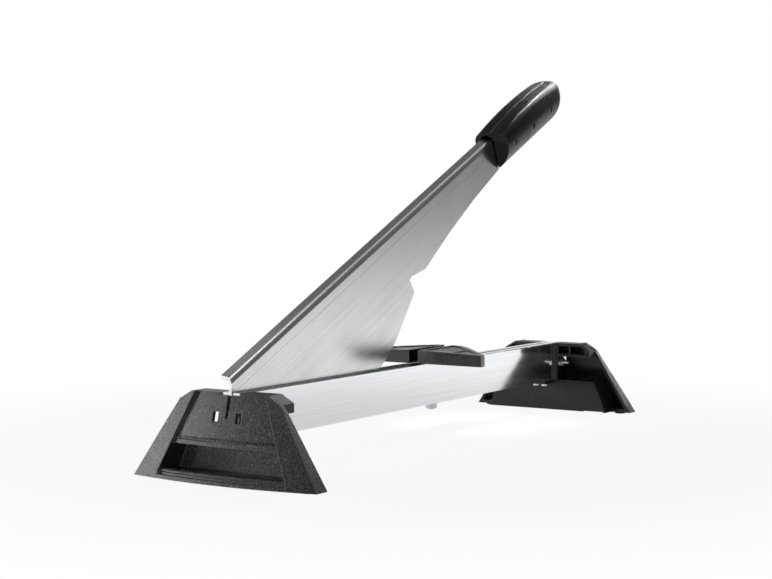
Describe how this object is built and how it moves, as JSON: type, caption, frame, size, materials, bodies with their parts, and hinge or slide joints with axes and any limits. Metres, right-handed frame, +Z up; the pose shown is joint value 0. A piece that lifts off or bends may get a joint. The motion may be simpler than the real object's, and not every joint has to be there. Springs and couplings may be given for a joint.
{
  "type": "laminate cutter",
  "caption": "Hand lever shear for laminate floor boards: a long blade hinged in a black foot, cutting between aluminium rails, with a cross stop.",
  "frame": {"origin": "on the floor, midway between the feet and on the middle plane of the blade slot", "axes": "+X along the rails from the pivot foot to the rear foot, +Y across the rails, +Z up"},
  "size_m": [0.544, 0.16, 0.3091],
  "materials": {
    "foot_plastic": "fine grain",
    "pad_rubber": "matt",
    "rail_aluminium": "bright drawn",
    "blade_steel": "brushed along its length",
    "sleeve_steel": "turned",
    "zinc": "zinc plated",
    "handle_plastic": "satin",
    "stop_plastic": "smooth",
    "nylon": "smooth"
  },
  "bodies": {
    "base": {"front_foot": "foot_plastic", "rear_foot": "foot_plastic", "front_foot_pads": "pad_rubber", "rear_foot_pads": "pad_rubber", "rail_left": "rail_aluminium", "rail_right": "rail_aluminium", "pivot_bolt": "zinc", "pivot_nut": "zinc", "pivot_washers": "zinc", "pivot_sleeve": "sleeve_steel", "pivot_side_spacers": "nylon", "rear_cross_bolt": "zinc", "rear_cross_nut": "zinc", "rear_cross_washers": "zinc", "rear_spacer_sleeve": "sleeve_steel", "front_rail_screws": "zinc", "rear_rail_screws": "zinc", "stop_bolt": "zinc", "stop_washer": "zinc", "stop_nut": "zinc", "stop_spacer_block": "nylon"},
    "lever": {"lever_blade": "blade_steel", "handle_left_half": "handle_plastic", "handle_right_half": "handle_plastic", "handle_screws": "zinc"},
    "stop": {"angle_stop": "stop_plastic"}
  },
  "joints": [
    {"name": "lever_pivot", "type": "hinge", "parent": "base", "child": "lever", "pos_m": [-0.2442, 0, 0.046], "axis": [0, -1, 0], "range_deg": [-15.5, 26]},
    {"name": "stop_swivel", "type": "hinge", "parent": "base", "child": "stop", "pos_m": [0.024, 0, 0.0655], "axis": [0, 0, 1], "range_deg": [-4.5, 4.5]}
  ]
}
